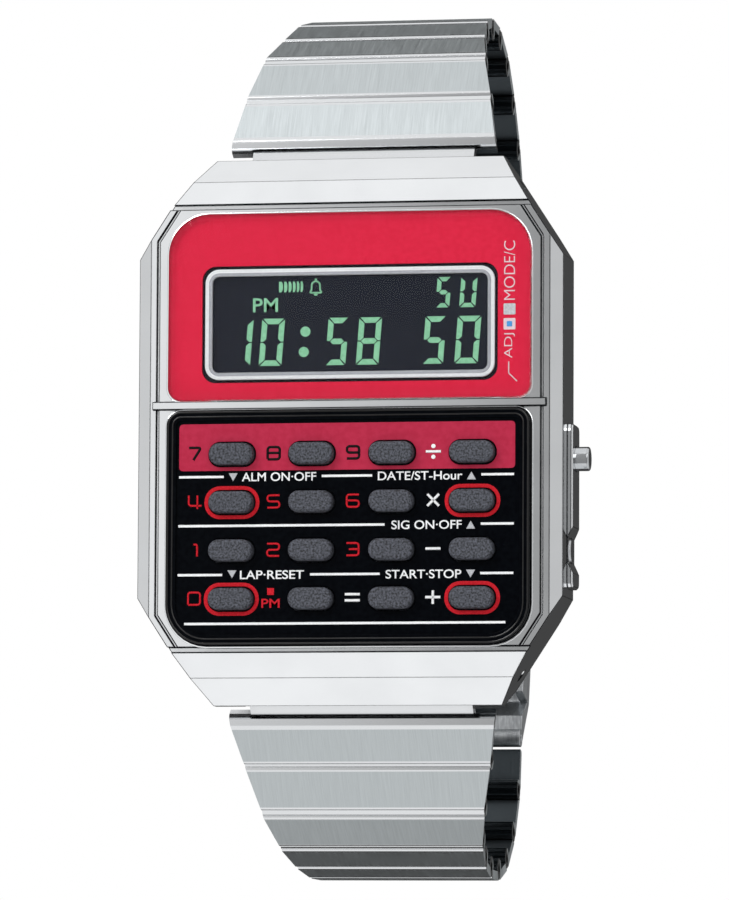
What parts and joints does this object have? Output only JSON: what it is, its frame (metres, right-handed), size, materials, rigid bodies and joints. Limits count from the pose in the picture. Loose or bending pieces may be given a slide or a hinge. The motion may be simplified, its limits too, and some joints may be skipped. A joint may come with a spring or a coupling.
{
  "type": "calculator watch",
  "caption": "Digital calculator wristwatch with an octagonal steel case, red display glass, a black keypad, side pushers and a link bracelet with a folding clasp.",
  "frame": {"origin": "centre of the case back's outer face, which lies on the wrist", "axes": "the face looks towards -Y, +Z is twelve o'clock, +X is the side with the pushers"},
  "size_m": [0.0353, 0.0482, 0.0703],
  "materials": {
    "polished_steel": "mirror polished stainless steel",
    "brushed_steel": "lengthwise brushed stainless steel",
    "back_steel": "circular brushed stainless steel",
    "screw_steel": "turned steel",
    "display_glass": "clear polished mineral glass",
    "mask_red": "red print under glass",
    "window_silver": "bright frame",
    "lcd_dark": "dark negative display",
    "panel_black": "glossy black print",
    "key_rubber": "fine grained silicone rubber",
    "sheet_rubber": "moulded silicone rubber",
    "contact_rubber": "layered contact rubber",
    "module_plastic": "moulded ABS",
    "board_green": "solder resist",
    "part_black": "potted parts",
    "cell_steel": "nickel plated steel",
    "buzzer_brass": "brass disc",
    "spring_steel": "spring wire"
  },
  "bodies": {
    "case": {"case_body": "polished_steel", "case_back": "back_steel", "back_gasket": "sheet_rubber", "back_screws": "screw_steel", "crystal": "display_glass", "dial_mask": "mask_red", "window_frame": "window_silver", "lcd_cell": "lcd_dark", "lcd_connectors": "contact_rubber", "keypad_panel": "panel_black", "key_mat": "sheet_rubber", "module_frame": "module_plastic", "circuit_board": "board_green", "board_components": "part_black", "battery": "cell_steel", "battery_clip": "spring_steel", "buzzer_disc": "buzzer_brass", "mode_spring": "spring_steel", "set_spring": "spring_steel"},
    "mode_pusher": {"mode_pusher": "polished_steel"},
    "set_pusher": {"set_pusher": "polished_steel"},
    "key_7": {"key_7": "key_rubber"},
    "key_8": {"key_8": "key_rubber"},
    "key_9": {"key_9": "key_rubber"},
    "key_divide": {"key_divide": "key_rubber"},
    "key_4": {"key_4": "key_rubber"},
    "key_5": {"key_5": "key_rubber"},
    "key_6": {"key_6": "key_rubber"},
    "key_multiply": {"key_multiply": "key_rubber"},
    "key_1": {"key_1": "key_rubber"},
    "key_2": {"key_2": "key_rubber"},
    "key_3": {"key_3": "key_rubber"},
    "key_subtract": {"key_subtract": "key_rubber"},
    "key_0": {"key_0": "key_rubber"},
    "key_point": {"key_point": "key_rubber"},
    "key_equals": {"key_equals": "key_rubber"},
    "key_add": {"key_add": "key_rubber"},
    "upper_link_1": {"upper_link_1": "brushed_steel"},
    "upper_link_2": {"upper_link_2": "brushed_steel"},
    "upper_link_3": {"upper_link_3": "brushed_steel"},
    "upper_link_4": {"upper_link_4": "brushed_steel"},
    "upper_link_5": {"upper_link_5": "brushed_steel"},
    "upper_link_6": {"upper_link_6": "brushed_steel"},
    "upper_link_7": {"upper_link_7": "brushed_steel"},
    "upper_link_8": {"upper_link_8": "brushed_steel"},
    "upper_link_9": {"upper_link_9": "brushed_steel"},
    "upper_link_10": {"upper_link_10": "brushed_steel"},
    "lower_link_1": {"lower_link_1": "brushed_steel"},
    "lower_link_2": {"lower_link_2": "brushed_steel"},
    "lower_link_3": {"lower_link_3": "brushed_steel"},
    "lower_link_4": {"lower_link_4": "brushed_steel"},
    "lower_link_5": {"lower_link_5": "brushed_steel"},
    "lower_link_6": {"lower_link_6": "brushed_steel"},
    "lower_link_7": {"lower_link_7": "brushed_steel"},
    "lower_link_8": {"lower_link_8": "brushed_steel"},
    "lower_link_9": {"lower_link_9": "brushed_steel"},
    "lower_link_10": {"lower_link_10": "brushed_steel"},
    "clasp_inner_blade": {"clasp_inner_blade": "polished_steel"},
    "clasp_outer_blade": {"clasp_outer_blade": "polished_steel"},
    "clasp_cover": {"clasp_cover": "brushed_steel"}
  },
  "joints": [
    {"name": "clasp_cover_hinge", "type": "hinge", "parent": "clasp_outer_blade", "child": "clasp_cover", "pos_m": [0, 0.03554, 0.0169], "axis": [1, 0, 0], "range_deg": [0, 120]},
    {"name": "clasp_fold_hinge", "type": "hinge", "parent": "clasp_inner_blade", "child": "clasp_outer_blade", "pos_m": [0, 0.03472, -0.01669], "axis": [-1, 0, 0], "range_deg": [0, 150]},
    {"name": "clasp_end_hinge", "type": "hinge", "parent": "upper_link_10", "child": "clasp_inner_blade", "pos_m": [0, 0.0324, 0.02265], "axis": [1, 0, 0], "range_deg": [0, 45]},
    {"name": "mode_pusher_press", "type": "slide", "parent": "case", "child": "mode_pusher", "axis": [-1, 0, 0], "range_m": [0, 0.0005], "stiffness_N_per_m": 1500, "springref_m": -0.0003, "deforming": ["mode_spring"]},
    {"name": "set_pusher_press", "type": "slide", "parent": "case", "child": "set_pusher", "axis": [-1, 0, 0], "range_m": [0, 0.0005], "stiffness_N_per_m": 1500, "springref_m": -0.0003, "deforming": ["set_spring"]},
    {"name": "upper_link_1_hinge", "type": "hinge", "parent": "case", "child": "upper_link_1", "pos_m": [0, -0.003, 0.0193], "axis": [1, 0, 0], "range_deg": [0, 9]},
    {"name": "upper_link_2_hinge", "type": "hinge", "parent": "upper_link_1", "child": "upper_link_2", "pos_m": [0, 0.00088, 0.0263], "axis": [1, 0, 0], "range_deg": [0, 14]},
    {"name": "upper_link_3_hinge", "type": "hinge", "parent": "upper_link_2", "child": "upper_link_3", "pos_m": [0, 0.00359, 0.02976], "axis": [1, 0, 0], "range_deg": [0, 29]},
    {"name": "upper_link_4_hinge", "type": "hinge", "parent": "upper_link_3", "child": "upper_link_4", "pos_m": [0, 0.00747, 0.03183], "axis": [1, 0, 0], "range_deg": [0, 9]},
    {"name": "upper_link_5_hinge", "type": "hinge", "parent": "upper_link_4", "child": "upper_link_5", "pos_m": [0, 0.01149, 0.03362], "axis": [1, 0, 0], "range_deg": [0, 17]},
    {"name": "upper_link_6_hinge", "type": "hinge", "parent": "upper_link_5", "child": "upper_link_6", "pos_m": [0, 0.0158, 0.03453], "axis": [1, 0, 0], "range_deg": [0, 19]},
    {"name": "upper_link_7_hinge", "type": "hinge", "parent": "upper_link_6", "child": "upper_link_7", "pos_m": [0, 0.02019, 0.03438], "axis": [1, 0, 0], "range_deg": [0, 24.2]},
    {"name": "upper_link_8_hinge", "type": "hinge", "parent": "upper_link_7", "child": "upper_link_8", "pos_m": [0, 0.0243, 0.03279], "axis": [1, 0, 0], "range_deg": [0, 22.1]},
    {"name": "upper_link_9_hinge", "type": "hinge", "parent": "upper_link_8", "child": "upper_link_9", "pos_m": [0, 0.02775, 0.03006], "axis": [1, 0, 0], "range_deg": [0, 18.7]},
    {"name": "upper_link_10_hinge", "type": "hinge", "parent": "upper_link_9", "child": "upper_link_10", "pos_m": [0, 0.03046, 0.0266], "axis": [1, 0, 0], "range_deg": [0, 16.8]},
    {"name": "lower_link_1_hinge", "type": "hinge", "parent": "case", "child": "lower_link_1", "pos_m": [0, -0.003, -0.0193], "axis": [-1, 0, 0], "range_deg": [0, 9]},
    {"name": "lower_link_2_hinge", "type": "hinge", "parent": "lower_link_1", "child": "lower_link_2", "pos_m": [0, 0.00193, -0.0256], "axis": [-1, 0, 0], "range_deg": [0, 2]},
    {"name": "lower_link_3_hinge", "type": "hinge", "parent": "lower_link_2", "child": "lower_link_3", "pos_m": [0, 0.00445, -0.02921], "axis": [-1, 0, 0], "range_deg": [0, 26]},
    {"name": "lower_link_4_hinge", "type": "hinge", "parent": "lower_link_3", "child": "lower_link_4", "pos_m": [0, 0.0081, -0.03167], "axis": [-1, 0, 0], "range_deg": [0, 21]},
    {"name": "lower_link_5_hinge", "type": "hinge", "parent": "lower_link_4", "child": "lower_link_5", "pos_m": [0, 0.01228, -0.03303], "axis": [-1, 0, 0], "range_deg": [0, 14]},
    {"name": "lower_link_6_hinge", "type": "hinge", "parent": "lower_link_5", "child": "lower_link_6", "pos_m": [0, 0.01663, -0.03372], "axis": [-1, 0, 0], "range_deg": [0, 13]},
    {"name": "lower_link_7_hinge", "type": "hinge", "parent": "lower_link_6", "child": "lower_link_7", "pos_m": [0, 0.02103, -0.03379], "axis": [-1, 0, 0], "range_deg": [0, 18.3]},
    {"name": "lower_link_8_hinge", "type": "hinge", "parent": "lower_link_7", "child": "lower_link_8", "pos_m": [0, 0.02533, -0.03286], "axis": [-1, 0, 0], "range_deg": [0, 24]},
    {"name": "lower_link_9_hinge", "type": "hinge", "parent": "lower_link_8", "child": "lower_link_9", "pos_m": [0, 0.02909, -0.03057], "axis": [-1, 0, 0], "range_deg": [0, 28.4]},
    {"name": "lower_link_10_hinge", "type": "hinge", "parent": "lower_link_9", "child": "lower_link_10", "pos_m": [0, 0.03163, -0.02698], "axis": [-1, 0, 0], "range_deg": [0, 30.2]},
    {"name": "key_7_press", "type": "slide", "parent": "case", "child": "key_7", "axis": [0, 1, 0], "range_m": [0, 0.0004], "stiffness_N_per_m": 1500, "springref_m": -0.0003},
    {"name": "key_8_press", "type": "slide", "parent": "case", "child": "key_8", "axis": [0, 1, 0], "range_m": [0, 0.0004], "stiffness_N_per_m": 1500, "springref_m": -0.0003},
    {"name": "key_9_press", "type": "slide", "parent": "case", "child": "key_9", "axis": [0, 1, 0], "range_m": [0, 0.0004], "stiffness_N_per_m": 1500, "springref_m": -0.0003},
    {"name": "key_divide_press", "type": "slide", "parent": "case", "child": "key_divide", "axis": [0, 1, 0], "range_m": [0, 0.0004], "stiffness_N_per_m": 1500, "springref_m": -0.0003},
    {"name": "key_4_press", "type": "slide", "parent": "case", "child": "key_4", "axis": [0, 1, 0], "range_m": [0, 0.0004], "stiffness_N_per_m": 1500, "springref_m": -0.0003},
    {"name": "key_5_press", "type": "slide", "parent": "case", "child": "key_5", "axis": [0, 1, 0], "range_m": [0, 0.0004], "stiffness_N_per_m": 1500, "springref_m": -0.0003},
    {"name": "key_6_press", "type": "slide", "parent": "case", "child": "key_6", "axis": [0, 1, 0], "range_m": [0, 0.0004], "stiffness_N_per_m": 1500, "springref_m": -0.0003},
    {"name": "key_multiply_press", "type": "slide", "parent": "case", "child": "key_multiply", "axis": [0, 1, 0], "range_m": [0, 0.0004], "stiffness_N_per_m": 1500, "springref_m": -0.0003},
    {"name": "key_1_press", "type": "slide", "parent": "case", "child": "key_1", "axis": [0, 1, 0], "range_m": [0, 0.0004], "stiffness_N_per_m": 1500, "springref_m": -0.0003},
    {"name": "key_2_press", "type": "slide", "parent": "case", "child": "key_2", "axis": [0, 1, 0], "range_m": [0, 0.0004], "stiffness_N_per_m": 1500, "springref_m": -0.0003},
    {"name": "key_3_press", "type": "slide", "parent": "case", "child": "key_3", "axis": [0, 1, 0], "range_m": [0, 0.0004], "stiffness_N_per_m": 1500, "springref_m": -0.0003},
    {"name": "key_subtract_press", "type": "slide", "parent": "case", "child": "key_subtract", "axis": [0, 1, 0], "range_m": [0, 0.0004], "stiffness_N_per_m": 1500, "springref_m": -0.0003},
    {"name": "key_0_press", "type": "slide", "parent": "case", "child": "key_0", "axis": [0, 1, 0], "range_m": [0, 0.0004], "stiffness_N_per_m": 1500, "springref_m": -0.0003},
    {"name": "key_point_press", "type": "slide", "parent": "case", "child": "key_point", "axis": [0, 1, 0], "range_m": [0, 0.0004], "stiffness_N_per_m": 1500, "springref_m": -0.0003},
    {"name": "key_equals_press", "type": "slide", "parent": "case", "child": "key_equals", "axis": [0, 1, 0], "range_m": [0, 0.0004], "stiffness_N_per_m": 1500, "springref_m": -0.0003},
    {"name": "key_add_press", "type": "slide", "parent": "case", "child": "key_add", "axis": [0, 1, 0], "range_m": [0, 0.0004], "stiffness_N_per_m": 1500, "springref_m": -0.0003}
  ]
}
